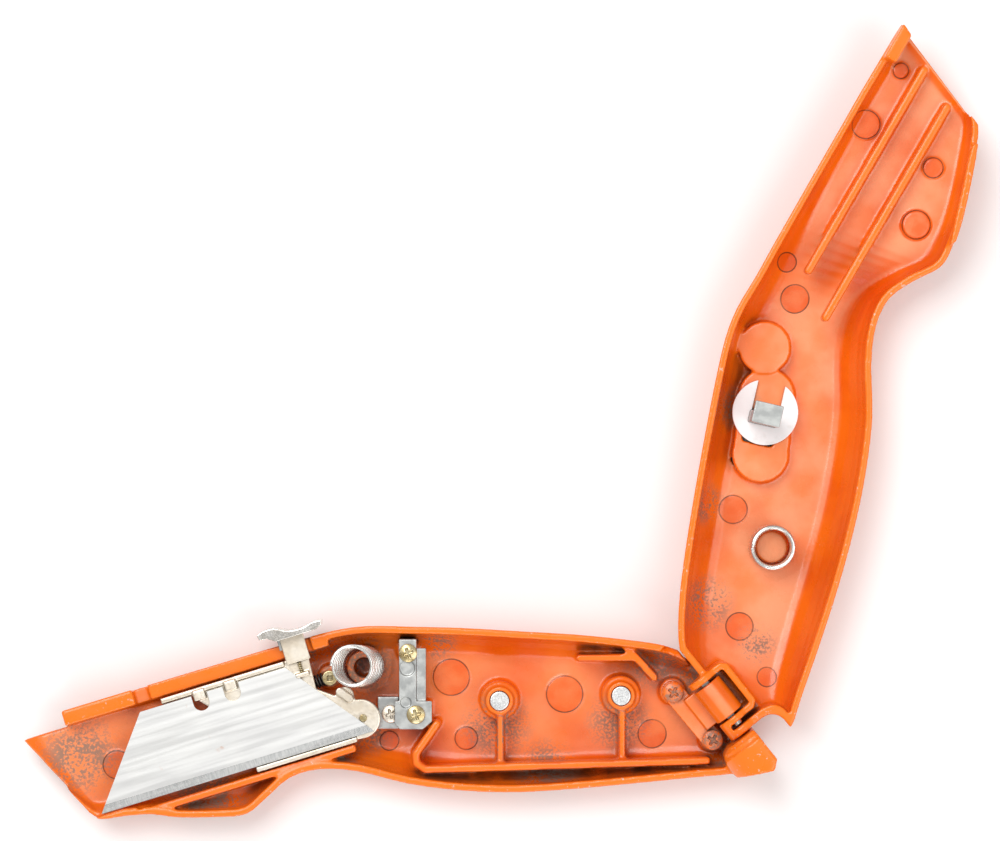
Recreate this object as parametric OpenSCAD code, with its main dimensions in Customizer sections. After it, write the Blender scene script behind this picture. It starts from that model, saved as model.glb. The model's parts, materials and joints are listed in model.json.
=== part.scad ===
// Swing-open retractable utility knife, lying open with both halves on their backs.
// Origin at the middle of its footprint, +Z up, the base half's nose towards -X.

/* [Handle halves] */
// Depth of the base half at the grip, from its outer face to its rim
base_depth = 11; // [10.8:0.1:11.2]
// Depth of the cover half at the grip
cover_depth = 14.9; // [14.7:0.1:14.9]
// Wall thickness of both castings
wall = 1.5; // [1.3:0.1:1.7]
// Floor thickness of both castings
floor_t = 1.6; // [1.4:0.1:1.8]
// Gap between the two rims when the knife is closed
rim_gap = 0.1; // [0.1:0.05:0.2]

/* [Hinge] */
// Diameter of the bracket's barrel
barrel_d = 6.8; // [6.6:0.1:7]
// Diameter of the hinge pin
pin_d = 2.4; // [2:0.1:2.6]
// Radial running clearance of the pin in the cover's knuckles
pin_gap = 0.05; // [0.03:0.01:0.1]

/* [Blade] */
// Length of the blade along its cutting edge
blade_len = 62; // [61:0.5:62]
// Length of the blade along its back
blade_back = 33; // [32:0.5:34]
// Height of the blade
blade_h = 18.8; // [18.6:0.1:19]
// Thickness of the blade
blade_t = 0.65; // [0.5:0.05:0.65]

/* [Springs and magnets] */
// Outer diameter of the opening spring
opening_spring_d = 9.2; // [9:0.1:9.4]
// Free height of the opening spring
opening_spring_h = 20.5; // [18.5:0.5:21]
// Outer diameter of the blade's return spring
return_spring_d = 3; // [2.8:0.1:3]
// Outer diameter of the ring spring that holds spare blades down
hold_spring_d = 10; // [9.8:0.1:10.2]
// Diameter of the two magnets
magnet_d = 4.1; // [4:0.1:4.4]

/* [Hidden] */
$fn = 48;

paint = [0.93, 0.36, 0.06];
nickel = [0.80, 0.77, 0.68];
zinc = [0.58, 0.59, 0.58];
brass = [0.74, 0.62, 0.32];
chrome = [0.84, 0.84, 0.83];

rim = base_depth;
hinge_h = rim + 2;
cover_rim = rim + rim_gap;
hinge_at = [47.1, -60.4];
hinge_turn = -51.5;
slide_turn = 17;
far = 60;
loft_steps = 3;
arc_steps = 5;

// Stations of each half, from the nose to the tail. Each row gives a rim point on the
// finger side, its partner on the thumb side, the depth there as a share of the grip's
// depth, and the shoulder's width.
base_stations = [
    [-89.5, -85.5, -107, -66.7, 0.5, 1.6],
    [-87, -86.7, -103.5, -65.6, 0.64, 2.2],
    [-82, -86, -97.5, -63.7, 0.64, 2.4],
    [-76, -85.6, -90, -61.4, 0.64, 2.4],
    [-70, -86.3, -80.5, -58.5, 0.64, 2.6],
    [-62, -86.2, -70, -55.3, 0.64, 3],
    [-55.5, -85.6, -60, -52.3, 0.66, 3.5],
    [-51, -82, -52, -49.9, 0.77, 4],
    [-46, -77.7, -44, -47.6, 0.91, 4.6],
    [-39.5, -75.8, -36.5, -45.6, 1, 5],
    [-31, -76.3, -29.5, -44.6, 1, 5.4],
    [-20, -79, -19.5, -44.7, 1, 6],
    [-8, -80.5, -8, -45, 1, 6.2],
    [4, -80.8, 4, -45.7, 1, 6.2],
    [17, -80, 16, -46.4, 1, 6],
    [30, -78.8, 27, -47.5, 1, 5.6],
    [42, -77.6, 36, -48.9, 0.95, 5],
    [52, -76.6, 42, -51.5, 0.86, 4],
    [58.5, -74.9, 46.6, -54.4, 0.77, 3]];
cover_stations = [
    [-87, -87.2, -104.6, -66.2, 0.34, 1.6],
    [-84.5, -87.8, -101, -64.9, 0.43, 2.2],
    [-79, -88.2, -95, -63, 0.43, 2.4],
    [-73, -88.4, -88.5, -60.9, 0.43, 2.4],
    [-66, -88.4, -79.5, -58.2, 0.43, 2.6],
    [-59.5, -87.7, -69, -55, 0.45, 3],
    [-55, -86.2, -60, -52.3, 0.5, 3.5],
    [-51, -81.5, -52, -49.9, 0.63, 4.2],
    [-46, -77, -44, -47.6, 0.8, 5],
    [-39.5, -75.5, -36.5, -45.2, 0.93, 5.6],
    [-31, -76.4, -29.5, -44.2, 1, 6],
    [-20, -79.2, -19.5, -44.2, 1, 6.4],
    [-8, -80.5, -8, -44.6, 1, 6.6],
    [4, -80.8, 4, -45.2, 1, 6.6],
    [17, -80.3, 16, -46, 1, 6.6],
    [30, -79.2, 27, -47.1, 0.97, 6.2],
    [42, -77.9, 36, -48.9, 0.83, 5.4],
    [49.5, -77.1, 42, -51.5, 0.66, 4],
    [54, -74, 46.6, -54.4, 0.64, 3]];

// ---- Frames ----

// Turns its children into the hinge's frame: X along the pin, Y away from the base
module on_hinge() translate([hinge_at.x, hinge_at.y, hinge_h]) rotate([0, 0, hinge_turn]) children();
// The opposite of on_hinge
module off_hinge() rotate([0, 0, -hinge_turn]) translate([-hinge_at.x, -hinge_at.y, -hinge_h]) children();
// Swings what is drawn in its closed place round the pin to lie open
module opened() on_hinge() rotate([180, 0, 0]) off_hinge() children();
// Turns its children into the blade's frame: X along the blade, away from its point
module on_slide() rotate([0, 0, slide_turn]) children();

// ---- Curves and lofts ----

function curve(a, b, c, d, t) =
    b + t/2*((c - a) + t*((2*a - 5*b + 4*c - d) + t*(3*b - a - 3*c + d)));
function smooth(rows, steps) = let (n = len(rows)) concat(
    [for (i = [0:n - 2], k = [0:steps - 1])
        curve(rows[max(i - 1, 0)], rows[i], rows[i + 1], rows[min(i + 2, n - 1)], k/steps)],
    [rows[n - 1]]);
function unit(v) = v/norm(v);
function finger_point(s) = [s[0], s[1]];
function thumb_point(s) = [s[2], s[3]];
// How far to go along a station's own line to be w inside the outline
function oblique(w, before, after, across) = w/abs(cross(unit(after - before), across));
function inset_row(rows, i, w) =
    let (s = rows[i], p = rows[max(i - 1, 0)], q = rows[min(i + 1, len(rows) - 1)],
        across = unit(thumb_point(s) - finger_point(s)),
        low = finger_point(s) + across*oblique(w, finger_point(p), finger_point(q), across),
        high = thumb_point(s) - across*oblique(w, thumb_point(p), thumb_point(q), across))
    [low.x, low.y, high.x, high.y, s[4], s[5]];
function moved_row(s, by) = [s[0] + by.x, s[1] + by.y, s[2] + by.x, s[3] + by.y, s[4], s[5]];
// Points round one section: rim, shoulder, flat floor, shoulder, rim. depth is the grip's
// depth, less than zero for a half that hangs below its rim; skin is taken off it, and
// mouth carries the sides straight on past the rim
function section(s, level, depth, skin, mouth) =
    let (across = unit(thumb_point(s) - finger_point(s)), step = 90/arc_steps,
        drop = min(s[4], 1)*depth - sign(depth)*skin,
        low = [for (k = [0:arc_steps]) concat(
            finger_point(s) + s[5]*(1 - cos(k*step))*across, [level + drop*sin(k*step)])],
        high = [for (k = [arc_steps:-1:0]) concat(
            thumb_point(s) - s[5]*(1 - cos(k*step))*across, [level + drop*sin(k*step)])],
        straight = mouth == 0 ? [] : [for (p = [high[len(high) - 1], low[0]])
            [p.x, p.y, level - sign(depth)*mouth]],
        ring = concat(low, high, straight))
    depth < 0 ? ring : [for (k = [len(ring) - 1:-1:0]) ring[k]];
module loft(rows, level, depth, skin = 0, mouth = 0) {
    rings = [for (s = rows) section(s, level, depth, skin, mouth)];
    n = len(rings);
    m = len(rings[0]);
    sides = [for (i = [0:n - 2], j = [0:m - 1])
        let (a = i*m + j, b = i*m + (j + 1)%m)
        each [[a, a + m, b + m], [a, b + m, b]]];
    first = [for (j = [0:m - 1]) j];
    last = [for (j = [m - 1:-1:0]) (n - 1)*m + j];
    polyhedron([for (r = rings) each r], concat(sides, [first, last]));
}
// Inside of a half: open past the nose and past the tail
function cavity_rows(rows) =
    let (n = len(rows), inside = [for (i = [0:n - 1]) inset_row(rows, i, wall)],
        nose_step = [-3, -0.9], tail_step = [6, -1.5])
    concat([moved_row(inside[0], nose_step)], inside, [moved_row(inside[n - 1], tail_step)]);

// ---- Small shapes ----

// Straight bar with round ends between two points in plan; its flanks sit just inside the
// ends' circles, so that the two cross cleanly
module stadium(a, b, r, h) {
    turn = atan2(b.y - a.y, b.x - a.x);
    flank = 0.97*r;
    for (p = [a, b]) translate(p) cylinder(r = r, h = h);
    translate(a) rotate([0, 0, turn]) translate([0, -flank, 0]) cube([norm(b - a), 2*flank, h]);
}
// The same with cut corners in place of round ends
module cut_bar(a, b, r, h) {
    l = norm(b - a);
    c = r*0.45;
    translate(a) rotate([0, 0, atan2(b.y - a.y, b.x - a.x)]) linear_extrude(h)
        polygon([[-r + c, -r], [l + r - c, -r], [l + r, -r + c], [l + r, r - c],
            [l + r - c, r], [-r + c, r], [-r, r - c], [-r, -r + c]]);
}
// Rib that follows a chain of points
module rib(points, w, h) {
    for (i = [0:len(points) - 2]) stadium(points[i], points[i + 1], w/2, h);
}
// Screw with a domed head and a cross recess, its head's seat at z = 0
module cross_screw(head_r, head_h, shank_r, shank_l) {
    recess = [head_r*1.15, head_r*0.3, head_h];
    difference() {
        union() {
            intersection() {
                cylinder(r = head_r, h = head_h);
                translate([0, 0, head_h - head_r*2.2]) sphere(r = head_r*2.2);
            }
            translate([0, 0, -shank_l]) cylinder(r = shank_r, h = shank_l);
        }
        for (turn = [0, 90]) rotate([0, 0, turn + 20])
            translate([-recess.x/2, -recess.y/2, head_h*0.45]) cube(recess);
    }
}
// Coil spring as the sleeve that its wire fills
module sleeve(outer_d, wire, h) difference() {
    cylinder(d = outer_d, h = h);
    translate([0, 0, -1]) cylinder(d = outer_d - 2*wire, h = h + 2);
}
// Thin raised ring left by an ejector pin
module ejector_mark(at, r, level, h) translate([at.x, at.y, level]) cylinder(r = r, h = h);

// ---- Base half ----

base_floor = floor_t;
mark_h = 0.25;
rib_top = rim - 1;
bracket_level = 5.6;
bracket_t = 2.4;
bracket_screw_at = [[-6.9, -6.7], [6.6, -6.4]];
bracket_w = 4.8;
bracket_screw_r = 1.1;
anchor_at = [-37.3, -56];
spring_at = [-29.9, -53.8];
spring_seat = 1.8;
magnet_at = [[-0.3, -61], [26.2, -59.9]];
magnet_level = 7.4;
magnet_h = 2;
// Clearance of a part that drops into its seat
seat_gap = 0.1;
return_spring_z = 7.3;
keeper_x = [-22.2, -18.4, -16.3];
keeper_y = [-61, -47.5];
keeper_top = 10.4;
keeper_screw_at = [[-20.2, -50.5], [-18.5, -63.9]];
keeper_screw_r = 1;
stop_screw_at = [-24.1, -63.9];
stop_level = 5.6;
stop_t = 1.8;
carrier_z = 8.9;
carrier_t = 1.1;
blade_z = carrier_z + carrier_t;
channel_gap = 0.2;
lip_top = 4;
// How far past the rim the base's hollow starts, and how far inside it the straight mouth
// of the cover's hollow starts
mouth_rise = 0.6;
mouth_drop = 0.4;
nose_share = 0.64;

module base_form() loft(smooth(base_stations, loft_steps), rim, -base_depth);
module base_cavity() loft(cavity_rows(smooth(base_stations, loft_steps)), rim + mouth_rise,
    -mouth_rise - base_depth, floor_t);
// Solid corner at the tail that fills the cover's notch, and the dome on it
module tail_plan(h) {
    plan = [[9.4, 2], [9.4, -4.7], [10.2, -6.6], [12, -7.4], [15.6, -7.4], [19, 0], [17.4, 2]];
    on_hinge() translate([0, 0, -hinge_h]) linear_extrude(h) polygon(plan);
}
module tail_dome() {
    // Where each step of the dome starts along the pin, and its radius
    dome = [[8, 6.3], [10.1, 7.2], [11.2, 8.1]];
    intersection() {
        tail_plan(far);
        on_hinge() for (step = dome) translate([step[0], 0, 0]) rotate([0, 90, 0])
            cylinder(r = step[1], h = 22 - step[0]);
    }
}
module base_ribs() {
    long_rib = [[-14, -66], [-18.6, -72.6], [-18.4, -74.6], [-16.5, -75.9], [44.8, -74]];
    translate([0, 0, 1]) {
        rib(long_rib, 1.7, rib_top - 1);
        rib([[17.2, -51.7], [28.6, -51.5]], 1.6, rib_top - 2);
        rib([[26.8, -48.7], [33.4, -55.9]], 1.6, rib_top - 2);
        for (x = [-0.8, 25.7]) translate([x, -75.1, 0]) cube([1.4, 12.4, rib_top - 2.2]);
    }
}
// Rails that the blade carrier runs between
module base_rails() {
    on_slide() {
        translate([-111, -36, rim - 6]) cube([61, 3, 6]);
        translate([-99, -59.6, rim - 6]) cube([48, 1.6, 5.6]);
        translate([-84, -46, rim - 6]) cube([1.2, 1, 1]);
    }
}
module base_bosses() {
    translate([0, 0, 1]) {
        for (p = magnet_at) translate(p) {
            cylinder(r = 4.2, h = 6.5);
            cylinder(r = 3.1, h = 8.2);
        }
        translate(spring_at) {
            cylinder(r = 6, h = spring_seat - 1);
            cylinder(r = 3.7, h = 7);
        }
        translate(anchor_at) cylinder(r = 2.6, h = 5.4);
        translate(keeper_screw_at[0]) cylinder(r = 2.6, h = 2);
        translate([-21.6, -66.6, 0]) cube([6.2, 5.4, 7.8]);
        translate([-26.8, -66.8, 0]) cube([5, 6, stop_level - 1]);
        translate([-22, -60.8, 0]) cube([3.4, 12.8, 2]);
    }
    on_hinge() translate([0, 0, -hinge_h]) for (p = bracket_screw_at)
        translate([p.x, p.y, 2]) cylinder(r = 2.9, h = bracket_level - 2);
}
module base_marks() {
    nose_floor = rim + mouth_rise - nose_share*(base_depth + mouth_rise) + floor_t;
    ejector_mark([-83.9, -75.2], 3.1, nose_floor - 0.4, 0.4 + mark_h);
    ejector_mark([-24.5, -70.2], 2.1, 1, base_floor - 1 + mark_h);
    ejector_mark([-10.9, -56.3], 4, 1, base_floor - 1 + mark_h);
    ejector_mark([14, -60], 4, 1, base_floor - 1 + mark_h);
    ejector_mark([-7.6, -69.7], 2.5, 1, base_floor - 1 + mark_h);
    ejector_mark([33.2, -68.7], 3.1, 1, base_floor - 1 + mark_h);
}
// Room for the blade, its carrier and the slider's stem over their whole travel
module slide_channels() on_slide() {
    translate([-100.3, -57.8, carrier_z - channel_gap]) cube([57, 22, far]);
    translate([-140, -56.8, blade_z - 0.3]) cube([100, 19.6, far]);
    translate([-116.2, -38.6, carrier_z - channel_gap]) cube([70, 2.8, far]);
    translate([-94, -37, rim - 1.6]) cube([40.4, 7, far]);
    translate([-94, -37, rim - 3]) cube([3.4, 7, far]);
    translate([-130, -36.2, -1]) cube([20, 10, far]);
}
// Room for the cover's knuckles and walls as they swing round the pin
module hinge_room() on_hinge() {
    translate([-20, -0.15, lip_top - hinge_h]) cube([29.3, 20, far]);
    translate([-16, 0, 0]) rotate([0, 90, 0]) cylinder(r = 3.9, h = 25.3);
    translate([-9.3, -3.9, lip_top - hinge_h]) cube([18.6, 20, far]);
}
// Seats of the keeper and of the two springs in the shoulders and the floor
module seats() {
    translate([keeper_x[0] - seat_gap, keeper_y[0] - seat_gap, 3])
        cube([keeper_x[1] - keeper_x[0] + 2*seat_gap, keeper_y[1] - keeper_y[0] + 2*seat_gap, far]);
    translate([spring_at.x, spring_at.y, spring_seat]) difference() {
        cylinder(d = opening_spring_d + 2*seat_gap, h = far);
        translate([0, 0, -1]) cylinder(r = 3.7, h = far + 2);
    }
    on_slide() translate([-77.4, -42.4, return_spring_z]) rotate([0, 90, 0])
        cylinder(d = return_spring_d + 2*seat_gap, h = 24.2);
}
module base_shell() color(paint) difference() {
    // resize by nothing: the shell then comes out as one closed mesh, at the cost of its true bores
    resize([0, 0, 0]) union() {
        difference() {
            base_form();
            difference() {
                base_cavity();
                base_ribs();
                base_rails();
                base_bosses();
                base_marks();
                tail_plan(far);
            }
        }
        tail_dome();
    }
    hinge_room();
    slide_channels();
    for (p = magnet_at) translate([p.x, p.y, magnet_level]) cylinder(d = magnet_d + seat_gap, h = far);
    translate([spring_at.x, spring_at.y, base_floor + 0.4]) cylinder(r = 2.2, h = far);
    translate([anchor_at.x, anchor_at.y, 3]) cylinder(r = 1, h = far);
    for (p = keeper_screw_at) translate([p.x, p.y, 1.4]) cylinder(r = keeper_screw_r, h = far);
    translate([stop_screw_at.x, stop_screw_at.y, 2.4]) cylinder(r = 0.9, h = far);
    on_hinge() for (p = bracket_screw_at)
        translate([p.x, p.y, 3 - hinge_h]) cylinder(r = bracket_screw_r, h = far);
    seats();
}

module hinge_bracket() color(paint) on_hinge() {
    low = bracket_level - hinge_h;
    difference() {
        union() {
            translate([0, 0, low]) stadium(bracket_screw_at[0], bracket_screw_at[1], bracket_w/2, bracket_t);
            translate([-4.1, -6, low]) cube([8.2, 5.2, 4.3]);
            translate([-4.1, 0, 0]) rotate([0, 90, 0]) cylinder(d = barrel_d, h = 8.2);
        }
        for (p = bracket_screw_at) translate([p.x, p.y, low - 1]) cylinder(r = bracket_screw_r, h = 4);
        translate([-5, 0, 0]) rotate([0, 90, 0]) cylinder(d = pin_d, h = 10);
    }
}
module bracket_screws() color(paint) on_hinge() for (p = bracket_screw_at)
    translate([p.x, p.y, bracket_level + bracket_t - hinge_h]) cross_screw(2.2, 1.4, bracket_screw_r, 4.5);
module hinge_pin() color(chrome) on_hinge()
    translate([-6, 0, 0]) rotate([0, 90, 0]) cylinder(d = pin_d, h = 12.9);

// Strike that the latch hooks under, with a foot on the finger side
module keeper_block() color(zinc) {
    w = keeper_x[1] - keeper_x[0];
    foot = [[-23.1, -61], [-23.1, -66], [-22, -67.1], [-17, -67.1], [-15, -65.4], [-15, -61]];
    difference() {
        union() {
            translate([keeper_x[0], keeper_y[0], 3]) cube([w, keeper_y[1] - keeper_y[0], keeper_top - 3]);
            translate([keeper_x[1] - 0.1, keeper_y[0], 8.2])
                cube([keeper_x[2] - keeper_x[1] + 0.1, keeper_y[1] - keeper_y[0] - 2, 1.6]);
            translate([0, 0, 8.8]) linear_extrude(keeper_top - 8.8) polygon(foot);
        }
        for (p = keeper_screw_at) translate([p.x, p.y, 0]) cylinder(r = keeper_screw_r, h = far);
        translate([-20.4, -53.8, keeper_top - 0.3]) cylinder(r = 1.7, h = 1);
        translate([-20.7, -61.3, keeper_top - 0.3]) cylinder(r = 1.2, h = 1);
    }
}
module keeper_screws() color(brass) for (p = keeper_screw_at)
    translate([p.x, p.y, keeper_top]) cross_screw(2, 1, keeper_screw_r, 6);
module stop_plate() color(zinc) difference() {
    translate([-26.9, -67.2, stop_level]) cube([4.6, 7, stop_t]);
    translate([stop_screw_at.x, stop_screw_at.y, 0]) cylinder(r = 0.9, h = far);
}
module stop_plate_screw() color(nickel) translate([stop_screw_at.x, stop_screw_at.y, stop_level + stop_t])
    cross_screw(1.9, 1.3, 0.9, 4);
// Screw with a square socket; its neck holds the return spring's eye
module spring_anchor_screw() color(brass) translate([anchor_at.x, anchor_at.y, 0]) difference() {
    union() {
        translate([0, 0, 3]) cylinder(r = 1, h = 5.3);
        translate([0, 0, 8.2]) cylinder(r = 1.6, h = 1.3);
    }
    translate([-0.6, -0.6, 8.7]) cube([1.2, 1.2, 2]);
}
module magnet(at) color(chrome) translate([at.x, at.y, magnet_level]) cylinder(d = magnet_d, h = magnet_h);
module front_magnet() magnet(magnet_at[0]);
module rear_magnet() magnet(magnet_at[1]);
module opening_spring() color(chrome) translate([spring_at.x, spring_at.y, spring_seat])
    sleeve(opening_spring_d, 0.7, opening_spring_h);
// Runs forward from its eye on the anchor screw to a tab under the carrier
module return_spring() color([0.1, 0.1, 0.1]) {
    translate([anchor_at.x, anchor_at.y, 6.6]) difference() {
        cylinder(r = 2.1, h = 1.4);
        translate([0, 0, -1]) cylinder(r = 1 + seat_gap, h = 4);
    }
    on_slide() translate([-76.8, -42.4, return_spring_z]) rotate([0, 90, 0])
        cylinder(d = return_spring_d, h = 22.9);
}

// ---- Carrier ----

blade_tip = -108.1;
blade_low = -56.4;
blade_notches = [-80.2, -73.1];
rivet_at = [-47.6, -53.1];

module blade_carrier() color(nickel) on_slide() {
    plate = [[-88.6, -36.2], [-88.6, -37.6], [-82, -37.6], [-79, -41], [-79, -45], [-73, -54],
        [-73, -57.6], [-50.2, -57.6], [-50.2, -48], [-55.5, -44], [-55, -36.2]];
    translate([0, 0, carrier_z]) difference() {
        union() {
            linear_extrude(carrier_t) polygon(plate);
            stadium([-48.2, -53.1], [-52, -53.1], 4.3, carrier_t);
            stadium([-50, -47.3], [-50, -52], 2, carrier_t);
        }
        translate([rivet_at.x, rivet_at.y, -1]) cylinder(r = 0.6, h = 4);
    }
    translate([-73, -57.6, carrier_z]) cube([22.8, 1, carrier_t + 0.9]);
    translate([-88.6, -37.3, carrier_z]) cube([28, 1.1, carrier_t + 0.5]);
    for (e = blade_notches) translate([e - 1.3, -38.9, blade_z - 0.1]) cube([2.6, 2.2, 1.1]);
    translate([-78, -44, 6]) cube([1.2, 3.2, carrier_z - 5.9]);
    translate([-58.9, -40.6, blade_z - 0.1]) cube([3, 0.9, 1.2]);
    translate([-50, -47.1, carrier_z]) rotate([0, 0, -52])
        stadium([-1.2, 0], [1.2, 0], 0.9, carrier_t + 0.6);
}
module carrier_rivet() color(brass) on_slide() translate([rivet_at.x, rivet_at.y, carrier_z]) {
    cylinder(r = 0.6, h = carrier_t);
    translate([0, 0, carrier_t]) cylinder(r = 0.75, h = 0.5);
}
// Trapezoid blade, its cutting edge on the finger side, with two notches in its back
module blade() color(chrome) on_slide() {
    slant = (blade_len - blade_back)/2;
    top = blade_low + blade_h;
    outline = [[blade_tip, blade_low], [blade_tip + blade_len, blade_low],
        [blade_tip + blade_len - slant, top], [blade_tip + slant, top]];
    edge = [[blade_low - 1, -1], [blade_low - 1, blade_t + 1], [blade_low + 1.7, blade_t + 0.001],
        [blade_low, blade_t*0.55], [blade_low, blade_t*0.45], [blade_low + 1.7, -0.001]];
    translate([0, 0, blade_z]) difference() {
        linear_extrude(blade_t) polygon(outline);
        for (e = blade_notches) {
            translate([e, top - 1.9, -1]) cylinder(r = 1.8, h = 3);
            translate([e - 1.8, top - 1.9, -1]) cube([3.6, 3, 3]);
        }
        translate([blade_tip - 1, 0, 0]) rotate([90, 0, 90]) linear_extrude(blade_len + 2) polygon(edge);
    }
}
module thumb_spring() color(brass) on_slide()
    translate([-57.4, -39.7, blade_z + 0.55]) rotate([-90, 0, 0]) cylinder(d = 1, h = 2.5);

// ---- Thumb slider ----

saddle_low = -31.45;
saddle_z = [6.6, 15];
stem_e = [-60, -54.7];

// Pressed saddle: raised front, dip for the thumb and a turned-up back
module thumb_slider() color(chrome) on_slide() {
    top = smooth([[-64.2, -29], [-62.6, -28.5], [-60.2, -28.6], [-57.6, -29.9], [-54.4, -30.2],
        [-51.6, -29.6], [-49.8, -29.9]], 3);
    under = [[-50.2, -30.9], [-51.6, saddle_low], [-60.6, saddle_low], [-62.2, -30.4], [-64, -30.2]];
    translate([0, 0, saddle_z[0]]) linear_extrude(saddle_z[1] - saddle_z[0]) polygon(concat(top, under));
}
module slider_stem() color(paint) on_slide()
    translate([stem_e[0], -37.2, rim - 0.9]) cube([stem_e[1] - stem_e[0], 37.2 + saddle_low, 0.85]);
module lock_tooth() color(zinc) on_slide()
    translate([-60.6, -33.8, rim - 1.4]) cube([0.6, 33.8 + saddle_low, 1.35]);

// ---- Cover half, drawn in its closed place ----

cover_floor = cover_rim + cover_depth - floor_t;
nose_ceiling = cover_rim + 0.43*cover_depth - floor_t;
pad_at = [-29.8, -53.5];
pad_face = 20;
boss_ends = [[-19.4, -56.4], [-6.9, -57.9]];
boss_face = 20.4;
ring_spring_at = [12.4, -64.9];
clip_at = [-16, -56.8];
post_x = [-15.8, -13.2];
post_y = [-59.7, -53.5];
button_travel = 4;
button_gap = 0.3;
knuckles = [[-6.25, -4.75], [4.65, 9]];
knuckle_r = 3.4;
pocket_n = -4.9;
roof = 8;
recess_depth = 2.6;

// Notch for the base's tail corner, in the hinge's frame; grow widens it by a wall
module tail_notch(grow) {
    r = 3.5;
    edge = 9 - grow;
    low = -8.5 - grow;
    translate([edge + r, low + r]) circle(r = r);
    translate([edge + r, low]) square([30, 40]);
    translate([edge, low + r]) square([30, 40]);
}
// Walls round the barrel and the pin, cut to clear the base as the cover swings
module knuckle_block() {
    x = [knuckles[0][0], knuckles[1][1]];
    translate([0, 0, cover_rim - hinge_h]) linear_extrude(roof - cover_rim + hinge_h)
        polygon([[x[0], -0.15], [x[0], -5.1], [x[0] + 1.3, -6.4], [x[1], -6.4], [x[1], -0.15]]);
    for (k = knuckles) translate([k[0], 0, 0]) rotate([0, 90, 0]) cylinder(r = knuckle_r, h = k[1] - k[0]);
}
module knuckle_cuts() {
    span = knuckles[1][0] - knuckles[0][1];
    translate([knuckles[0][1], pocket_n, -5]) cube([span, 15, 11.5]);
    translate([0, 0, -5]) linear_extrude(10)
        polygon([[6.1, 1.6], [6.1, -5.1], [4.8, -6.5], [4.8, -8], [7.3, -8], [7.3, 1.6]]);
    translate([knuckles[0][0] - 1, 0, 0]) rotate([0, 90, 0]) cylinder(r = pin_d/2 + pin_gap, h = 13.9);
}
module cover_nose_ribs() {
    translate([0, 0, cover_rim + 0.3]) on_slide() {
        rib([[-113, -42], [-63, -42]], 1.8, 5.4);
        rib([[-108.6, -50.3], [-56, -50.3]], 1.8, 5.4);
    }
}
// Block that fills the step in the base's nose
module cover_nose_step() {
    on_slide() translate([0, 0, rim - 4.5]) linear_extrude(6)
        polygon([[-119, -32.9], [-110.8, -32.9], [-110.8, -35.7], [-117.6, -35.7]]);
}
// Skirt that stands outside the base along the finger guard
module cover_skirt() {
    outer = smooth([[-83, -87.9], [-79, -88.2], [-73, -88.4], [-66, -88.4], [-61, -88]], 2);
    inner = smooth([[-60, -86.9], [-66, -86.8], [-73, -86.8], [-79, -86.6], [-82, -86.7]], 2);
    translate([0, 0, rim - 2.4]) linear_extrude(3.4) polygon(concat(outer, inner));
}
module cover_bosses() {
    top = cover_floor + 0.8;
    translate([pad_at.x, pad_at.y, pad_face]) cylinder(r = 5.7, h = top - pad_face);
    translate([0, 0, boss_face]) stadium(boss_ends[0], boss_ends[1], 6.2, top - boss_face);
    translate([ring_spring_at.x, ring_spring_at.y, cover_floor - 3]) cylinder(r = 3.6, h = 3.5);
}
module cover_marks() {
    for (m = [[-81.9, -63.8, 3.1], [-95, -68.6, 1.7], [-76, -80.2, 2.2], [-63.1, -79.4, 3.1]])
        ejector_mark(m, m[2], nose_ceiling - mark_h, mark_h + 0.6);
    ejector_mark([6.3, -55], 3.1, cover_floor - mark_h, mark_h + 0.6);
}
module cover_solid() difference() {
    loft(smooth(cover_stations, loft_steps), cover_rim, cover_depth);
    on_hinge() translate([0, 0, -hinge_h]) linear_extrude(far) tail_notch(0);
}
module cover_shell() color(paint) opened() difference() {
    union() {
        difference() {
            cover_solid();
            difference() {
                loft(cavity_rows(smooth(cover_stations, loft_steps)), cover_rim + mouth_drop,
                    cover_depth - mouth_drop, floor_t, 2);
                on_hinge() translate([0, 0, -hinge_h]) linear_extrude(far) tail_notch(wall);
                on_hinge() translate([-30, -1.7, -5]) cube([50, 20, 30]);
            }
            // Everything past the pin's axis goes, so that the cover can swing
            on_hinge() translate([-30, -0.15, -20]) cube([60, 30, 60]);
        }
        on_hinge() knuckle_block();
        intersection() {
            cover_solid();
            union() {
                cover_nose_ribs();
                cover_bosses();
                cover_marks();
            }
        }
        cover_nose_step();
        cover_skirt();
    }
    on_hinge() knuckle_cuts();
    button_recess();
}

// ---- Release button ----

button_ends = [[-19.2, -56.9], [-11.2, -56.9]];
recess_ends = [[-19.4, -56.9], [-6.9, -56.9]];

module button_recess() {
    outer = cover_rim + cover_depth;
    slot_l = post_x[1] - post_x[0] + button_travel + 2*button_gap;
    translate([0, 0, outer - recess_depth]) cut_bar(recess_ends[0], recess_ends[1], 4.8, far);
    translate([post_x[0] - button_gap, post_y[0] - button_gap, boss_face - 1])
        cube([slot_l, post_y[1] - post_y[0] + 2*button_gap, 10]);
    translate([-13, -58.2, outer - recess_depth - 2.1]) cube([7.8, 2.2, 3]);
}
module release_button() color(paint) opened() {
    outer = cover_rim + cover_depth;
    difference() {
        translate([0, 0, outer - recess_depth + 0.1]) cut_bar(button_ends[0], button_ends[1], 4.5, 2.3);
        for (k = [0:5]) translate([-21.6 + 2.4*k, -64, outer - 0.9]) cube([1, 14, 2]);
    }
    translate([post_x[0], post_y[0], 6.6])
        cube([post_x[1] - post_x[0], post_y[1] - post_y[0], outer - recess_depth - 6.4]);
    translate([-17.9, post_y[0], 6.6]) cube([2.2, post_y[1] - post_y[0], 1.4]);
}
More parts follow.
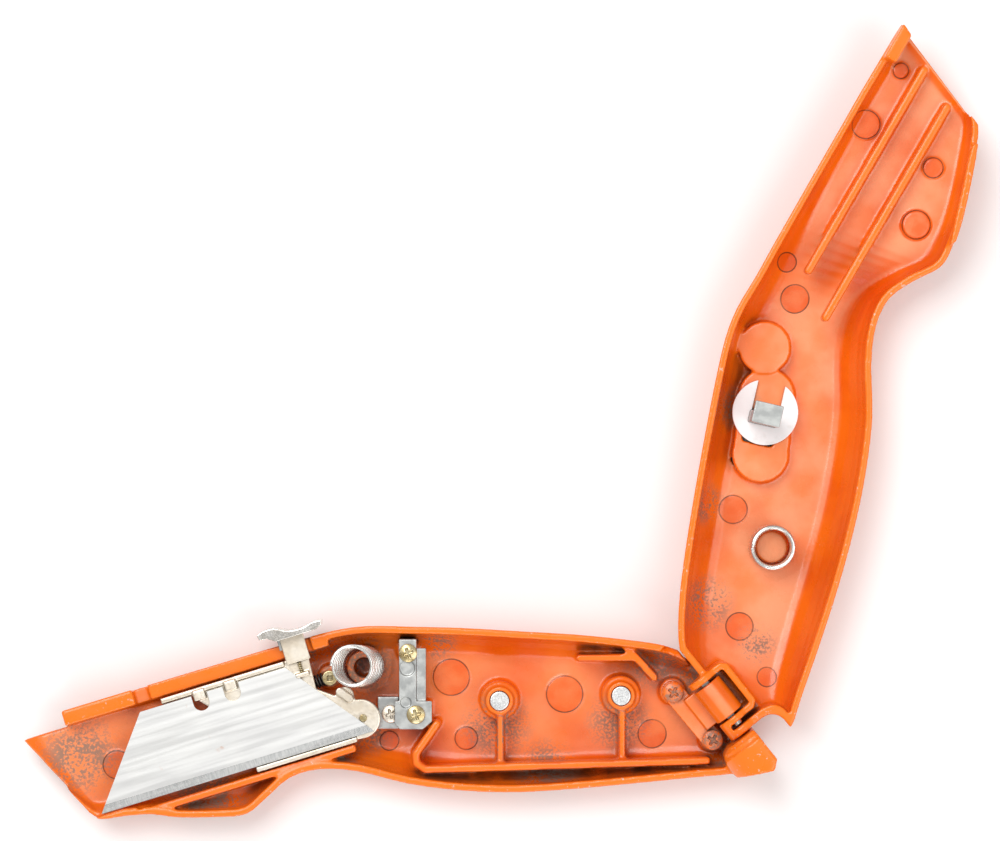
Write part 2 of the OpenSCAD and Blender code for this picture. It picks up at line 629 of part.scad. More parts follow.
// E-shaped clip that keeps the button's post in the cover
module retaining_clip() color("white") opened()
        translate([clip_at.x, clip_at.y, boss_face - 0.85]) difference() {
    cylinder(r = 7.2, h = 0.8);
    translate([post_x[0] - clip_at.x, post_y[0] - clip_at.y, -1])
        cube([post_x[1] - post_x[0], post_y[1] - post_y[0], 3]);
    translate([-9, -3, -1]) cube([9.3, 6, 3]);
}
module latch_spring() color(chrome) opened()
    translate([post_x[1], -57.1, cover_rim + cover_depth - recess_depth - 1.1])
    rotate([0, 90, 0]) cylinder(r = 0.95, h = 8);
module hold_down_spring() color(chrome) opened()
    translate([ring_spring_at.x, ring_spring_at.y, cover_floor - 9.05])
    sleeve(hold_spring_d, 1.3, 9);

base_shell();
hinge_bracket();
bracket_screws();
hinge_pin();
keeper_block();
keeper_screws();
stop_plate();
stop_plate_screw();
spring_anchor_screw();
front_magnet();
rear_magnet();
opening_spring();
return_spring();
blade_carrier();
carrier_rivet();
blade();
thumb_spring();
thumb_slider();
slider_stem();
lock_tooth();
cover_shell();
hold_down_spring();
release_button();
retaining_clip();
latch_spring();
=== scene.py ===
"""Swing-open utility knife, lying open: the finished look of every piece round its CAD frame."""

import json
import logging
import math
from dataclasses import dataclass, field
from enum import Enum

import bpy
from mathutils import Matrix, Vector

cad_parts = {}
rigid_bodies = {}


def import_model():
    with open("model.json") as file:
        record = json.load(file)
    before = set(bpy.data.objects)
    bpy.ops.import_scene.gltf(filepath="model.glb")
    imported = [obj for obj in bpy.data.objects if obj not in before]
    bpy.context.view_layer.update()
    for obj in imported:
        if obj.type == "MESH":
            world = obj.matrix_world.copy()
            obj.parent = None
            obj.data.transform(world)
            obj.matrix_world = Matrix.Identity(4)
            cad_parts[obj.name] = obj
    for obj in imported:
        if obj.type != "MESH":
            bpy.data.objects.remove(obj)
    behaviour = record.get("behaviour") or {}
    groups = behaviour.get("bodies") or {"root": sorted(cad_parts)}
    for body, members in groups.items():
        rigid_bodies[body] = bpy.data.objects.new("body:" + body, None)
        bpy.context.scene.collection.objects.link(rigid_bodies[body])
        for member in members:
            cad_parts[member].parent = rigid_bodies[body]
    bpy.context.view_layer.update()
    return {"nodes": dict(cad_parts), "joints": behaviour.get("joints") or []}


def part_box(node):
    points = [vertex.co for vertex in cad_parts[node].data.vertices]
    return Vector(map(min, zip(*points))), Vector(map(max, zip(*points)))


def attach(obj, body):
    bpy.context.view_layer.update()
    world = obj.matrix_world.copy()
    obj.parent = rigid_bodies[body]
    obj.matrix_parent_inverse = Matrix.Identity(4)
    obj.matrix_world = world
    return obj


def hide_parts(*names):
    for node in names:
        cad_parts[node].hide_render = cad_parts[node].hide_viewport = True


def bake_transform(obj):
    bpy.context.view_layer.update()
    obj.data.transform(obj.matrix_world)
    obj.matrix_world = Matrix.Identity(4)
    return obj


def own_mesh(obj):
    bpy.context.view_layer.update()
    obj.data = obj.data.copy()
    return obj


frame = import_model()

MM = 0.001
log = logging.getLogger("utility_knife")

Colour = tuple[float, float, float]
Spot = tuple[float, float, float]


class Body(Enum):
    """The five bodies that move against each other."""

    BASE = "base"
    CARRIER = "carrier"
    THUMB = "thumb"
    COVER = "cover"
    BUTTON = "button"


# ---- Frame geometry ----


def joint(name: str) -> dict:
    """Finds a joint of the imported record.

    Args:
        name: The joint's name.

    Returns:
        The joint's entry.
    """
    return next(j for j in frame["joints"] if j["name"] == name)


def swung_open(x: float, y: float) -> tuple[float, float]:
    """Where a place of the closed cover lies once the knife is open.

    Args:
        x: Place along X in millimetres, with the knife closed.
        y: Place along Y in millimetres.

    Returns:
        The place in millimetres, mirrored about the hinge pin.
    """
    hinge = joint("cover_hinge")
    pin = Vector(hinge["axis"]).normalized()
    start = Vector(hinge["pos_m"]) / MM
    arm = Vector((x, y, start.z)) - start
    mirrored = start + 2 * arm.dot(pin) * pin - arm
    return mirrored.x, mirrored.y


def middle(node: str) -> Vector:
    """The middle of a CAD node's box, in metres."""
    low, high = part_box(node)
    return (low + high) / 2


# ---- Modelling helpers ----


def pick(obj: bpy.types.Object) -> None:
    """Selects one object alone and makes it the active one."""
    for other in bpy.context.view_layer.objects:
        other.select_set(False)
    obj.select_set(True)
    bpy.context.view_layer.objects.active = obj


def settle(obj: bpy.types.Object) -> None:
    """Moves an object's place, turn and scale into its mesh."""
    pick(obj)
    bpy.ops.object.transform_apply(location=True, rotation=True, scale=True)


def modify(obj: bpy.types.Object, kind: str, **settings: object) -> None:
    """Adds a modifier, sets it and applies it.

    Args:
        obj: The piece to change.
        kind: The modifier's type.
        settings: The modifier's own properties.
    """
    pick(obj)
    bpy.ops.object.modifier_add(type=kind)
    modifier = obj.modifiers[-1]
    for name, value in settings.items():
        setattr(modifier, name, value)
    bpy.ops.object.modifier_apply(modifier=modifier.name)


def cast_copy(node: str, name: str, grain: float, passes: int) -> bpy.types.Object:
    """Copies a CAD node and rounds its edges as casting or pressing does.

    Args:
        node: The CAD node to copy.
        name: The new piece's name.
        grain: Size of the remeshed faces in metres.
        passes: How many smoothing passes round the edges.

    Returns:
        The rounded piece.
    """
    mesh = frame["nodes"][node].data.copy()
    mesh.materials.clear()
    piece = bpy.data.objects.new(name, mesh)
    bpy.context.scene.collection.objects.link(piece)
    pick(piece)
    bpy.ops.object.mode_set(mode="EDIT")
    bpy.ops.mesh.select_all(action="SELECT")
    bpy.ops.mesh.remove_doubles(threshold=0.002 * MM)
    bpy.ops.object.mode_set(mode="OBJECT")
    modify(piece, "REMESH", mode="VOXEL", voxel_size=grain, adaptivity=0.0)
    modify(piece, "SMOOTH", factor=0.5, iterations=passes)
    pick(piece)
    bpy.ops.object.shade_smooth()
    return piece


def finish_piece(
    piece: bpy.types.Object, body: Body, slot: str, material: bpy.types.Material, *nodes: str
) -> bpy.types.Object:
    """Dresses a new piece and ties it to the frame.

    Args:
        piece: The new piece.
        body: The body that it rides on.
        slot: The record's material slot; not used.
        material: The finish that it wears.
        nodes: The CAD nodes that it stands for.

    Returns:
        The same piece.
    """
    piece.data.materials.clear()
    piece.data.materials.append(material)
    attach(piece, body.value)
    if nodes:
        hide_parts(*nodes)
    log.info("%s: %d faces on %s", piece.name, len(piece.data.polygons), body.value)
    return piece


def dress(node: str, material: bpy.types.Material) -> None:
    """Gives a CAD node that stays its finish."""
    mesh = frame["nodes"][node].data
    mesh.materials.clear()
    mesh.materials.append(material)
    log.info("%s keeps its CAD shape", node)


# ---- Finishes ----


class Graph:
    """A short way to write one material's nodes."""

    def __init__(self, name: str) -> None:
        """Starts an empty material with its shader and object coordinates."""
        self.material = bpy.data.materials.new(name)
        self.material.use_nodes = True
        self.tree = self.material.node_tree
        self.tree.nodes.clear()
        output = self.tree.nodes.new("ShaderNodeOutputMaterial")
        self.shader = self.tree.nodes.new("ShaderNodeBsdfPrincipled")
        self.tree.links.new(self.shader.outputs["BSDF"], output.inputs["Surface"])
        self.place = self.tree.nodes.new("ShaderNodeTexCoord").outputs["Object"]
        self.axes = self.tree.nodes.new("ShaderNodeSeparateXYZ")
        self.tree.links.new(self.place, self.axes.inputs[0])

    def plug(self, socket: bpy.types.NodeSocket, value: object) -> None:
        """Links a socket to another, or sets it to a number or a colour."""
        if isinstance(value, bpy.types.NodeSocket):
            self.tree.links.new(value, socket)
        elif isinstance(value, tuple) and len(value) == 3 and len(socket.default_value) == 4:
            socket.default_value = (*value, 1.0)
        else:
            socket.default_value = value

    def maths(
        self, operation: str, a: object, b: object = 0.0, clamp: bool = False
    ) -> bpy.types.NodeSocket:
        """One arithmetic node."""
        node = self.tree.nodes.new("ShaderNodeMath")
        node.operation = operation
        node.use_clamp = clamp
        self.plug(node.inputs[0], a)
        self.plug(node.inputs[1], b)
        return node.outputs[0]

    def ramp(
        self, value: object, low: float, high: float, out_low: float = 0.0, out_high: float = 1.0
    ) -> bpy.types.NodeSocket:
        """Maps low to high smoothly on to out_low to out_high."""
        node = self.tree.nodes.new("ShaderNodeMapRange")
        node.interpolation_type = "SMOOTHSTEP"
        self.plug(node.inputs["Value"], value)
        names = ("From Min", "From Max", "To Min", "To Max")
        for name, number in zip(names, (low, high, out_low, out_high)):
            node.inputs[name].default_value = number
        return node.outputs[0]

    def noise(
        self, size: float, detail: float = 3.0, stretch: Spot = (1, 1, 1), turn: float = 0.0
    ) -> bpy.types.NodeSocket:
        """Noise whose features are about size metres.

        Args:
            size: Feature size in metres.
            detail: Octaves of finer noise.
            stretch: Scale along each axis of the turned pattern.
            turn: Turn of the pattern about Z in degrees.

        Returns:
            The noise from 0 to 1.
        """
        mapping = self.tree.nodes.new("ShaderNodeMapping")
        mapping.vector_type = "TEXTURE"
        mapping.inputs["Rotation"].default_value = (0, 0, math.radians(turn))
        mapping.inputs["Scale"].default_value = stretch
        self.plug(mapping.inputs["Vector"], self.place)
        node = self.tree.nodes.new("ShaderNodeTexNoise")
        node.inputs["Scale"].default_value = 1 / size
        node.inputs["Detail"].default_value = detail
        self.plug(node.inputs["Vector"], mapping.outputs[0])
        return node.outputs[0]

    def blend(self, share: object, a: object, b: object) -> bpy.types.NodeSocket:
        """Mixes two colours."""
        node = self.tree.nodes.new("ShaderNodeMix")
        node.data_type = "RGBA"
        self.plug(node.inputs["Factor"], share)
        self.plug(node.inputs[6], a)
        self.plug(node.inputs[7], b)
        return node.outputs[2]

    def distance(self, x: float, y: float) -> bpy.types.NodeSocket:
        """Distance in plan from a point given in millimetres, in metres."""
        dx = self.maths("SUBTRACT", self.axes.outputs["X"], x * MM)
        dy = self.maths("SUBTRACT", self.axes.outputs["Y"], y * MM)
        squares = self.maths("ADD", self.maths("MULTIPLY", dx, dx), self.maths("MULTIPLY", dy, dy))
        return self.maths("SQRT", squares)

    def patches(self, spots: tuple[Spot, ...]) -> bpy.types.NodeSocket:
        """Soft round patches, each (x, y, radius) in millimetres, joined into one mask."""
        mask: object = 0.0
        for x, y, radius in spots:
            patch = self.ramp(self.distance(x, y), 0.25 * radius * MM, radius * MM, 1, 0)
            mask = self.maths("MAXIMUM", mask, patch)
        return mask

    def facing_up(self) -> bpy.types.NodeSocket:
        """The upward part of the surface's normal, 1 on a level face."""
        split = self.tree.nodes.new("ShaderNodeSeparateXYZ")
        normal = self.tree.nodes.new("ShaderNodeTexCoord").outputs["Normal"]
        self.tree.links.new(normal, split.inputs[0])
        return split.outputs["Z"]

    def crevices(self, reach: float) -> bpy.types.NodeSocket:
        """How enclosed a point is, from 0 in the open to 1 deep in a corner."""
        node = self.tree.nodes.new("ShaderNodeAmbientOcclusion")
        node.samples = 8
        node.inputs["Distance"].default_value = reach
        return self.maths("SUBTRACT", 1.0, node.outputs["AO"], clamp=True)

    def bump(self, height: object, depth: float, under: object = None) -> bpy.types.NodeSocket:
        """Raises the surface by height times depth metres."""
        node = self.tree.nodes.new("ShaderNodeBump")
        node.inputs["Distance"].default_value = depth
        node.inputs["Strength"].default_value = 1.0
        self.plug(node.inputs["Height"], height)
        if under is not None:
            self.plug(node.inputs["Normal"], under)
        return node.outputs[0]

    def set(self, **values: object) -> bpy.types.Material:
        """Sets or links the shader's sockets, named with underscores, and gives the material."""
        for name, value in values.items():
            self.plug(self.shader.inputs[name.replace("_", " ").title().replace("Ior", "IOR")], value)
        return self.material


@dataclass(frozen=True)
class CastPaint:
    """Glossy orange paint on a die casting, with a painted peach reflection on level floors, a painted
    highlight on rims and level crests, painted shade in corners, dust, chipped rims and ejector marks.
    """

    name: str
    rim: float
    dust_and_shade: tuple[Spot, ...] = ()
    rings: tuple[Spot, ...] = ()
    orange: Colour = (0.9, 0.165, 0.004)
    deep: Colour = (0.8, 0.115, 0.003)
    top_highlight: Colour = (0.95, 0.19, 0.004)
    painted_sheen: Colour = (0.94, 0.39, 0.19)
    painted_sheen_strength: float = 0.75
    dust: Colour = (0.23, 0.17, 0.13)
    dirt_and_shade: Colour = (0.075, 0.028, 0.012)

    def build(self) -> bpy.types.Material:
        """Builds the paint.

        Returns:
            The material.
        """
        g = Graph(self.name)
        height = g.axes.outputs["Z"]
        colour = g.blend(g.ramp(g.noise(14 * MM), 0.4, 0.68), self.orange, self.deep)
        # Level floors below the rim turn pale peach: a painted reflection of the overhead light on the
        # glossy paint.
        level = g.ramp(g.facing_up(), 0.9, 0.995)
        sheen_mask = g.maths("MULTIPLY", level, g.ramp(g.noise(11 * MM, 3), 0.3, 0.66, 0.35, 1.0))
        below = g.ramp(height, self.rim - 3 * MM, self.rim - 2.2 * MM, self.painted_sheen_strength, 0)
        sheen_mask = g.maths("MULTIPLY", sheen_mask, below)
        colour = g.blend(sheen_mask, colour, self.painted_sheen)
        speck = g.noise(0.55 * MM, 4)
        smear = g.noise(5 * MM, 4)
        line: object = 0.0
        disc: object = 0.0
        for x, y, radius in self.rings:
            away = g.distance(x, y)
            gap = g.maths("ABSOLUTE", g.maths("SUBTRACT", away, radius * MM))
            line = g.maths("MAXIMUM", line, g.ramp(gap, 0.05 * MM, 0.2 * MM, 1, 0))
            disc = g.maths("MAXIMUM", disc, g.ramp(away, (radius - 0.2) * MM, radius * MM, 1, 0))
        inside = g.ramp(height, self.rim - 2.4 * MM, self.rim - 1.6 * MM, 1, 0)
        line = g.maths("MULTIPLY", line, inside)
        disc = g.maths("MULTIPLY", g.maths("MULTIPLY", disc, inside), g.ramp(smear, 0.3, 0.6, 0.35, 0.9))
        colour = g.blend(disc, colour, self.deep)
        # Corners and recesses darken to brown by ambient occlusion: painted shade. The same dark colour
        # also draws the ejector-ring seams.
        corner = g.crevices(5 * MM)
        dust_and_shade = g.maths("MULTIPLY", g.ramp(corner, 0.34, 0.85), g.ramp(smear, 0.3, 0.62, 0.35, 1.0))
        colour = g.blend(g.maths("MULTIPLY", dust_and_shade, 0.85), colour, self.dirt_and_shade)
        patch = g.maths("MULTIPLY", g.patches(self.dust_and_shade), inside)
        grit = g.maths("ADD", g.maths("MULTIPLY", speck, 0.6), g.maths("MULTIPLY", smear, 0.4))
        dusty = g.maths("MULTIPLY", patch, g.ramp(grit, 0.44, 0.58))
        colour = g.blend(g.maths("MULTIPLY", dusty, 0.85), colour, self.dust)
        colour = g.blend(g.maths("MULTIPLY", line, g.ramp(smear, 0.25, 0.6, 0.4, 0.85)), colour, self.dirt_and_shade)
        # Level crests and the rim tops turn a lighter orange: a painted highlight on the top faces. The
        # pale chips below are real wear.
        crest = g.maths("MULTIPLY", level, g.ramp(height, self.rim - 2.9 * MM, self.rim - 2.3 * MM))
        colour = g.blend(g.maths("MULTIPLY", crest, 0.85), colour, self.top_highlight)
        rim_level = g.ramp(height, self.rim - 0.45 * MM, self.rim - 0.12 * MM)
        colour = g.blend(rim_level, colour, self.top_highlight)
        chips = g.maths("MULTIPLY", rim_level, g.ramp(g.noise(0.9 * MM, 3), 0.66, 0.72))
        colour = g.blend(chips, colour, (0.72, 0.42, 0.3))
        rough = g.maths("ADD", g.maths("MULTIPLY", dusty, 0.4), g.ramp(smear, 0.3, 0.7, 0.24, 0.38))
        relief = g.bump(g.noise(1.1 * MM, 2), 0.03 * MM)
        relief = g.bump(speck, 0.02 * MM, relief)
        relief = g.bump(g.maths("SUBTRACT", 1.0, line), 0.08 * MM, relief)
        return g.set(
            base_color=colour, roughness=rough, normal=relief,
            coat_weight=0.3, coat_roughness=0.1, specular_ior_level=0.4,
        )


@dataclass(frozen=True)
class Metal:
    """A plated, cast or drawn metal with mottling, grain and painted shade in its corners."""

    name: str
    bright: Colour
    dull: Colour
    roughness: float
    patch: float = 2.5
    pits: float = 0.35
    pit_depth: float = 0.01
    corner_shade: float = 0.6
    metallic: float = 0.9

    def build(self) -> bpy.types.Material:
        """Builds the metal.

        Returns:
            The material.
        """
        g = Graph(self.name)
        mottle = g.noise(self.patch * MM, 4)
        fine = g.noise(self.pits * MM, 3)
        colour = g.blend(g.ramp(mottle, 0.36, 0.64), self.bright, self.dull)
        # Corners darken by ambient occlusion: painted shade.
        corner = g.maths("MULTIPLY", g.ramp(g.crevices(1.6 * MM), 0.35, 0.9), self.corner_shade)
        colour = g.blend(corner, colour, (0.05, 0.035, 0.025))
        rough = g.maths("ADD", g.ramp(fine, 0.3, 0.7, -0.06, 0.1), self.roughness)
        relief = g.bump(fine, self.pit_depth * MM)
        return g.set(base_color=colour, roughness=rough, normal=relief, metallic=self.metallic)


@dataclass(frozen=True)
class BladeSteel:
    """Satin blade steel with a ground edge, rolled grain and small smears."""

    name: str
    turn: float
    edge_at: float
    edge_height: float = 1.7
    steel: Colour = (0.86, 0.855, 0.83)
    shade: Colour = (0.82, 0.815, 0.8)
    smear: Colour = (0.66, 0.34, 0.2)

    def build(self) -> bpy.types.Material:
        """Builds the blade's steel.

        Returns:
            The material.
        """
        g = Graph(self.name)
        along = g.noise(1.2 * MM, 4, stretch=(22, 1, 1), turn=self.turn)
        clouds = g.noise(9 * MM, 4)
        turned = math.radians(self.turn)
        across = g.maths(
            "ADD",
            g.maths("MULTIPLY", g.axes.outputs["X"], -math.sin(turned)),
            g.maths("MULTIPLY", g.axes.outputs["Y"], math.cos(turned)),
        )
        edge = g.ramp(across, self.edge_at * MM, (self.edge_at + 0.12) * MM, 1, 0)
        strokes = g.noise(0.3 * MM, 3, stretch=(1, 9, 1), turn=self.turn)
        colour = g.blend(g.ramp(clouds, 0.35, 0.68), self.steel, self.shade)
        colour = g.blend(g.ramp(along, 0.4, 0.75, 0.0, 0.2), colour, (0.93, 0.93, 0.9))
        ground = g.maths("MULTIPLY", edge, g.ramp(strokes, 0.35, 0.65, 0.25, 0.9))
        colour = g.blend(ground, colour, (0.62, 0.63, 0.62))
        spots = g.ramp(g.noise(3.2 * MM, 5), 0.64, 0.72)
        marks = g.maths("MULTIPLY", spots, g.ramp(g.noise(12 * MM, 2), 0.5, 0.6))
        colour = g.blend(g.maths("MULTIPLY", marks, 0.6), colour, self.smear)
        rough = g.maths("ADD", g.ramp(along, 0.3, 0.7, 0.3, 0.42), g.maths("MULTIPLY", edge, -0.08))
        relief = g.bump(along, 0.0012 * MM)
        relief = g.bump(g.maths("MULTIPLY", strokes, edge), 0.004 * MM, relief)
        return g.set(base_color=colour, roughness=rough, normal=relief, metallic=0.85)


@dataclass(frozen=True)
class ClipEnamel:
    """Smooth pale finish of the retaining clip, a little grey where it rubs."""

    name: str

    def build(self) -> bpy.types.Material:
        """Builds the pale finish.

        Returns:
            The material.
        """
        g = Graph(self.name)
        colour = g.blend(g.ramp(g.noise(3 * MM, 4), 0.55, 0.75), (0.93, 0.93, 0.93), (0.78, 0.78, 0.76))
        # Corners darken to brown by ambient occlusion: painted shade.
        corner = g.maths("MULTIPLY", g.ramp(g.crevices(1.2 * MM), 0.4, 0.9), 0.7)
        colour = g.blend(corner, colour, (0.12, 0.08, 0.06))
        relief = g.bump(g.noise(0.4 * MM), 0.002 * MM)
        return g.set(base_color=colour, roughness=0.28, normal=relief, metallic=0.0)


# ---- Sub-assemblies ----


@dataclass
class Palette:
    """Every finish on the knife, built once."""

    base_grime: tuple[Spot, ...] = (
        (-39, -50, 8), (-29, -67, 8), (-30, -54, 9), (-14, -48, 6), (-1, -67, 10), (26, -66, 9),
        (34, -52, 9), (43, -55, 8), (-64, -83, 12), (-92, -73, 12), (50, -71, 9),
        (-37, -74, 9), (10, -77, 9),
    )
    base_rings: tuple[Spot, ...] = (
        (-83.9, -75.2, 3.1), (-24.5, -70.2, 2.1), (-10.9, -56.3, 4),
        (14, -60, 4), (-7.6, -69.7, 2.5), (33.2, -68.7, 3.1),
    )
    closed_cover_rings: tuple[Spot, ...] = (
        (31, -62.1, 3), (40.4, -70.3, 2.1), (6.3, -55, 3.1), (-41.7, -57.7, 3.1), (-49, -54, 2.1),
        (-81.9, -63.8, 3.1), (-95, -68.6, 1.7), (-76, -80.2, 2.2), (-63.1, -79.4, 3.1),
    )
    cover_grime: tuple[Spot, ...] = ((45, -40, 8), (44, -18, 6), (52, 3, 6), (56, -49, 6))
    made: dict[str, bpy.types.Material] = field(default_factory=dict)

    def build(self) -> None:
        """Builds all the finishes."""
        base_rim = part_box("slider_stem")[1].z + 0.05 * MM
        cover_rim = joint("cover_hinge")["pos_m"][2] * 2 - base_rim - 0.1 * MM
        cover_rings = tuple((*swung_open(x, y), r) for x, y, r in self.closed_cover_rings)
        finishes = {
            "base_paint": CastPaint("base_paint", base_rim, self.base_grime, self.base_rings, painted_sheen_strength=0.45),
            "cover_paint": CastPaint("cover_paint", cover_rim, self.cover_grime, cover_rings, painted_sheen_strength=0.9),
            "small_paint": CastPaint("small_paint", 30 * MM, ((37.6, -59.2, 4), (46.2, -69.5, 4))),
            "zinc": Metal(
                "cast_zinc", (0.56, 0.57, 0.55), (0.4, 0.41, 0.4),
                0.42, pits=0.45, pit_depth=0.008, corner_shade=0.75,
            ),
            "brass": Metal(
                "yellow_plate", (0.7, 0.6, 0.36), (0.5, 0.38, 0.18),
                0.26, patch=1.4, pit_depth=0.002, corner_shade=0.9,
            ),
            "nickel": Metal(
                "warm_nickel", (0.9, 0.82, 0.7), (0.8, 0.7, 0.56),
                0.36, patch=4, pit_depth=0.002, corner_shade=0.8,
            ),
            "chrome": Metal(
                "chrome_plate", (0.92, 0.89, 0.84), (0.7, 0.66, 0.6),
                0.2, patch=2, pit_depth=0.0006,
            ),
            "magnet": Metal(
                "magnet_plate", (0.93, 0.93, 0.92), (0.8, 0.81, 0.81),
                0.3, patch=2, pit_depth=0.0005, corner_shade=0.1,
            ),
            "wire": Metal(
                "spring_wire", (0.88, 0.88, 0.85), (0.7, 0.68, 0.63),
                0.22, patch=3, pit_depth=0.0005, corner_shade=0.3,
            ),
            "black_wire": Metal("black_wire", (0.03, 0.03, 0.03), (0.06, 0.05, 0.045), 0.35, metallic=0.6),
            "blade": BladeSteel("blade_steel", 17, -54.7),
            "clip": ClipEnamel("clip_enamel"),
        }
        for name, finish in finishes.items():
            self.made[name] = finish.build()
        log.info("built %d finishes", len(self.made))

    def __getitem__(self, name: str) -> bpy.types.Material:
        """A finish by its name."""
        return self.made[name]


@dataclass
class Casting:
    """A cast or pressed part whose edges are rounded from its CAD shape."""

    node: str
    name: str
    body: Body
    slot: str
    finish: str
    grain: float
    passes: int = 3

    def build(self, palette: Palette) -> bpy.types.Object:
        """Makes the part and ties it to the frame.

        Args:
            palette: The finishes.

        Returns:
            The finished piece.
        """
        piece = cast_copy(self.node, self.name, self.grain, self.passes)
        return finish_piece(piece, self.body, self.slot, palette[self.finish], self.node)


def build_castings(palette: Palette, rows: tuple[tuple, ...]) -> None:
    """Builds several castings in order.

    Args:
        palette: The finishes.
        rows: Each casting's node, name, body, slot, finish, grain in millimetres and passes.
    """
    for node, name, body, slot, finish, grain, passes in rows:
        Casting(node, name, body, slot, finish, grain * MM, passes).build(palette)


@dataclass
class Coil:
    """A coil spring wound along its own axis, with ground, capped ends."""

    node: str
    name: str
    body: Body
    slot: str
    finish: str
    start: Vector
    end: Vector
    radius: float
    wire: float
    turns: float
    lean: Vector = field(default_factory=lambda: Vector((0, 0, 0)))
    sides: int = 10
    steps: int = 28

    def wind(self) -> bpy.types.Object:
        """Winds the wire with a screw modifier along Z, then lays it from start to end.

        Returns:
            The bare spring, its place in its mesh.
        """
        axis = self.end - self.start
        rise = axis.length - self.wire
        bpy.ops.object.select_all(action="DESELECT")
        upright = (math.pi / 2, 0, 0)
        bpy.ops.mesh.primitive_circle_add(vertices=self.sides, radius=self.wire / 2, rotation=upright)
        spring = bpy.context.object
        spring.name = self.name
        spring.location = (self.radius - self.wire / 2, 0, self.wire / 2)
        settle(spring)
        whole = round(self.turns)
        modify(
            spring, "SCREW", axis="Z", angle=math.tau * self.turns / whole, steps=self.steps,
            render_steps=self.steps, screw_offset=rise / whole, iterations=whole, use_smooth_shade=True,
        )
        pick(spring)
        bpy.ops.object.mode_set(mode="EDIT")
        bpy.ops.mesh.select_all(action="SELECT")
        bpy.ops.mesh.remove_doubles(threshold=0.001 * MM)
        bpy.ops.mesh.select_all(action="DESELECT")
        bpy.ops.mesh.select_mode(type="EDGE")
        bpy.ops.mesh.select_non_manifold()
        bpy.ops.mesh.fill_holes(sides=0)
        bpy.ops.mesh.select_all(action="SELECT")
        bpy.ops.mesh.normals_make_consistent(inside=False)
        bpy.ops.object.mode_set(mode="OBJECT")
        spring.rotation_euler = axis.to_track_quat("Z", "Y").to_euler()
        spring.location = self.start
        settle(spring)
        for vertex in spring.data.vertices:
            along = (vertex.co - self.start).dot(axis) / axis.length_squared
            vertex.co += self.lean * along
        return spring

    def build(self, palette: Palette) -> bpy.types.Object:
        """Makes the spring and ties it to the frame.

        Args:
            palette: The finishes.

        Returns:
            The finished spring.
        """
        return finish_piece(self.wind(), self.body, self.slot, palette[self.finish], self.node)

    def build_between(self, palette: Palette, far: Body) -> bpy.types.Object:
        """Makes the spring and leaves it at its place in the frame, tied to no body.

        Args:
            palette: The finishes.
            far: The body that its far end should follow; only named in the log.

        Returns:
            The finished spring.
        """
        spring = self.wind()
        spring.data.materials.clear()
        spring.data.materials.append(palette[self.finish])
        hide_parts(self.node)
        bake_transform(spring)
        log.info("%s: stretches from %s to %s", spring.name, self.body.value, far.value)
        return spring


@dataclass
class BaseHalf:
    """The half that holds the blade, with what is screwed into it."""

    palette: Palette
    pressed: float = 0.88
    spring_level: float = 7.2 * MM
    spring_start: float = 1.2 * MM
    spring_length: float = 23 * MM

    def build(self) -> None:
        """Builds the casting, the hinge bracket and the fittings."""
        p = self.palette
        build_castings(p, (
            ("base_shell", "base_casting", Body.BASE, "orange_paint", "base_paint", 0.36, 3),
            ("hinge_bracket", "hinge_bracket_cast", Body.BASE, "orange_paint", "small_paint", 0.2, 3),
            ("bracket_screws", "bracket_screw_heads", Body.BASE, "orange_paint", "small_paint", 0.1, 3),
            ("keeper_block", "keeper_cast", Body.BASE, "zinc", "zinc", 0.14, 3),
            ("keeper_screws", "keeper_screw_heads", Body.BASE, "brass", "brass", 0.09, 2),
            ("stop_plate", "stop_plate_pressed", Body.BASE, "zinc", "zinc", 0.14, 2),
            ("stop_plate_screw", "stop_screw_head", Body.BASE, "cream_nickel", "nickel", 0.09, 2),
            ("spring_anchor_screw", "anchor_screw_head", Body.BASE, "brass", "brass", 0.08, 2),
        ))
        for node in ("front_magnet", "rear_magnet"):
            Casting(node, node + "_disc", Body.BASE, "bright_steel", "magnet", 0.12 * MM, 2).build(p)
        dress("hinge_pin", p["chrome"])

    def build_springs(self) -> None:
        """Builds the opening spring, which the cover presses down, and the return spring."""
        low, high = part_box("opening_spring")
        centre = middle("opening_spring")
        opening = Coil(
            "opening_spring", "opening_spring_coil", Body.BASE, "spring_steel", "wire",
            Vector((centre.x, centre.y, low.z)), Vector((centre.x, centre.y, high.z)),
            (high.x - low.x) / 2, 0.75 * MM, 8, Vector((-2.3 * MM, 1.2 * MM, 0)),
        ).build(self.palette)
        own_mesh(opening)
        forward = Vector(joint("blade_slide")["axis"]).normalized()
        anchor = middle("spring_anchor_screw")
        start = Vector((anchor.x, anchor.y, self.spring_level)) + forward * self.spring_start
        end = start + forward * self.spring_length
        Coil(
            "return_spring", "return_spring_coil", Body.BASE, "black_spring", "black_wire",
            start, end, 1.6 * MM, 0.5 * MM, 34, sides=6, steps=14,
        ).build_between(self.palette, Body.CARRIER)


